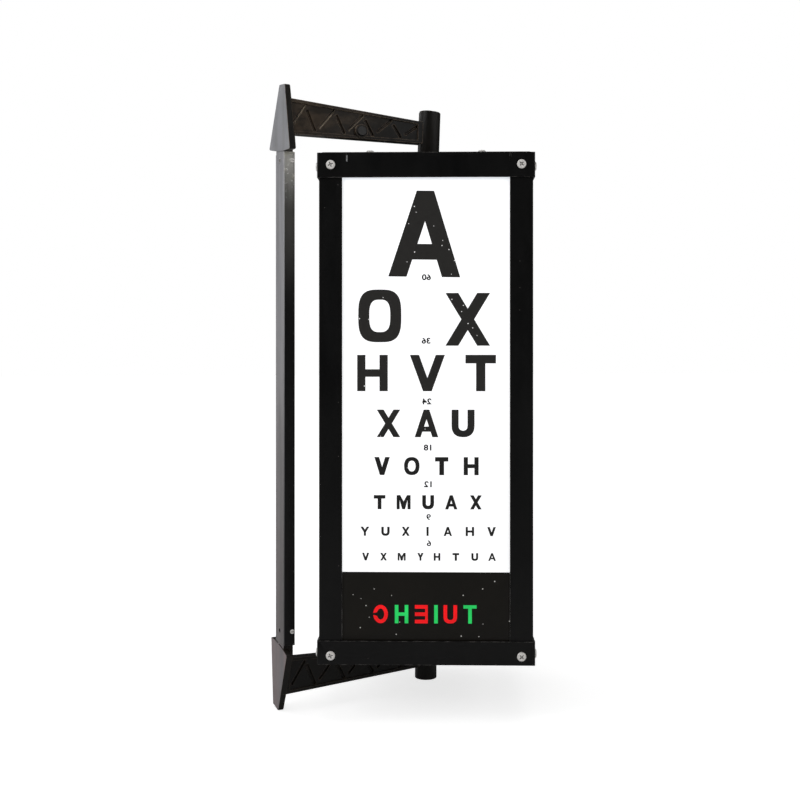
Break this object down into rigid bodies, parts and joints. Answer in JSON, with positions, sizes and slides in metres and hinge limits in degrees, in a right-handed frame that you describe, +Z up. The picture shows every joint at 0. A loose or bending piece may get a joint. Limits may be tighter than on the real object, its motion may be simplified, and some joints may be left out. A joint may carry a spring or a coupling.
{
  "type": "revolving illuminated eye test chart",
  "caption": "Tall square lit drum with letter charts on its sides, turning on a vertical spindle between the arms of a cast wall bracket.",
  "frame": {"origin": "on the wall plane, on the bracket's centre line, half way between the two wall screws", "axes": "+Z up along the spindle, +Y out of the bracket's back into the wall, so the arms reach into the room along -Y"},
  "size_m": [0.2972, 0.3216, 0.6619],
  "materials": {
    "casting_black": "old satin black paint on a casting, brownish where thin",
    "column_paint": "worn satin dark paint on steel tube, scuffed near the top",
    "drum_enamel": "satin near-black enamel on folded sheet",
    "mask_black": "satin black coating on thin sheet",
    "opal_acrylic": "opal diffusing sheet, lit from behind",
    "steel_bright": "bright plated screws",
    "steel_dark": "turned steel, oiled",
    "bronze": "sintered bronze bearing metal",
    "brass": "machined brass",
    "aluminium_raw": "mill-finish aluminium",
    "rubber_black": "soft black rubber",
    "black_plastic": "moulded black plastic",
    "circuit_green": "solder-masked circuit board",
    "strip_white": "white solder mask",
    "led_lit": "lit LED packages",
    "driver_white": "moulded off-white plastic",
    "motor_zinc": "zinc-plated motor housing",
    "magnet_nickel": "nickel-plated magnets",
    "carbon": "pressed carbon"
  },
  "bodies": {
    "bracket": {"wall_column": "column_paint", "top_arm": "casting_black", "bottom_arm": "casting_black", "arm_fixing_screws": "steel_bright", "barrel_grub_screws": "steel_dark", "boss_plug": "black_plastic", "cable_grommet": "rubber_black", "top_spindle": "steel_dark", "bottom_spindle": "steel_dark", "thrust_washer": "bronze", "sun_gear": "steel_dark", "index_magnets": "magnet_nickel", "sun_gear_screw": "steel_dark", "sun_gear_washer": "steel_bright", "slip_ring_sleeve": "black_plastic", "slip_rings": "brass"},
    "drum": {"top_cap": "drum_enamel", "bottom_cap": "drum_enamel", "lid_plate": "drum_enamel", "corner_post_1": "drum_enamel", "corner_post_2": "drum_enamel", "corner_post_3": "drum_enamel", "corner_post_4": "drum_enamel", "chart_panel_front": "opal_acrylic", "chart_panel_right": "opal_acrylic", "chart_panel_back": "opal_acrylic", "chart_panel_left": "opal_acrylic", "lower_mask_front": "mask_black", "lower_mask_right": "mask_black", "lower_mask_back": "mask_black", "lower_mask_left": "mask_black", "panel_retainers": "aluminium_raw", "cap_screws_top": "steel_bright", "cap_screws_bottom": "steel_bright", "lid_screws": "steel_bright", "top_hub": "aluminium_raw", "top_bush": "bronze", "bottom_hub": "aluminium_raw", "bottom_bush": "bronze", "hub_screws": "steel_bright", "deck_plate": "aluminium_raw", "deck_pillars": "aluminium_raw", "deck_screws": "steel_bright", "light_core": "aluminium_raw", "core_brackets": "aluminium_raw", "led_strips": "strip_white", "led_chips": "led_lit", "led_driver": "driver_white", "control_board": "circuit_green", "terminal_block": "black_plastic", "sensor_board": "circuit_green", "brush_block": "black_plastic", "brushes": "carbon", "gearbox": "motor_zinc", "motor_can": "motor_zinc", "motor_screws": "steel_bright"},
    "pinion": {"motor_shaft": "steel_dark", "pinion": "brass"}
  },
  "joints": [
    {"name": "drum_turn", "type": "hinge", "parent": "bracket", "child": "drum", "pos_m": [0, -0.173, 0], "axis": [0, 0, 1], "continuous": true},
    {"name": "pinion_spin", "type": "hinge", "parent": "drum", "child": "pinion", "pos_m": [0.01973, -0.22966, 0], "axis": [0, 0, 1], "continuous": true}
  ],
  "couplings": [
    {"joint": "pinion_spin", "follows": "drum_turn", "ratio": 3}
  ]
}
